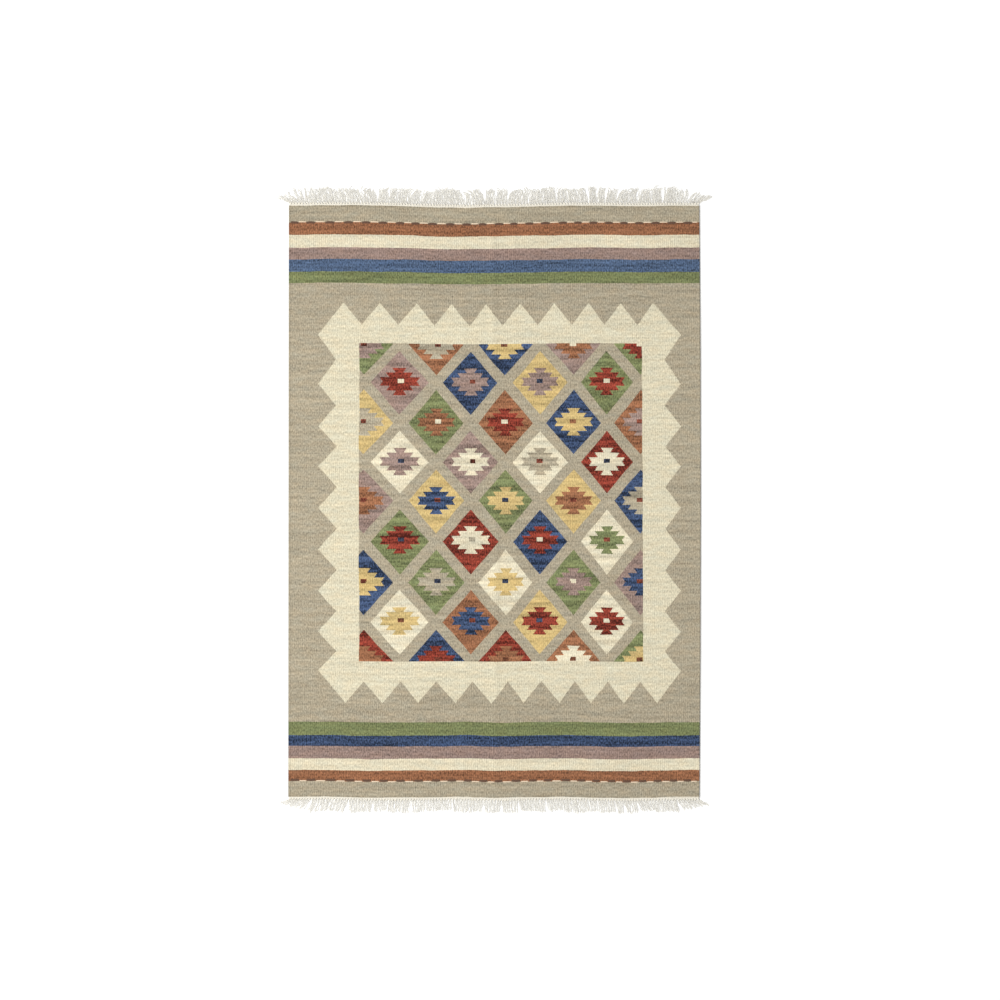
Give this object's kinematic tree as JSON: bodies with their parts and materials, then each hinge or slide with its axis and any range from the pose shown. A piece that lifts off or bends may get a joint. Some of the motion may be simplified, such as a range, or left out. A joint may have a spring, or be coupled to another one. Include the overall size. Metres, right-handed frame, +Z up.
{
  "type": "kilim rug",
  "caption": "Flat-woven wool kilim rug with a field of stepped diamonds, a zigzag border, end stripes and a knotted cotton fringe at both ends, lying flat on a floor.",
  "frame": {"origin": "on the floor at the middle of the rug, both fringes included", "axes": "+X across the width, +Y along the length towards the end with the curled fringe, +Z up from the floor"},
  "size_m": [1.3125, 1.8971, 0.0064],
  "materials": {
    "kilim_wool": "matt weft-faced plain weave in hand-spun wool, with fine ribs along the warps and streaks of uneven dye along the wefts",
    "warp_cotton": "matt off-white plied cotton warps, knotted and left loose"
  },
  "bodies": {
    "root": {"kilim_cloth": "kilim_wool", "fringe_top": "warp_cotton", "fringe_bottom": "warp_cotton"}
  },
  "joints": []
}
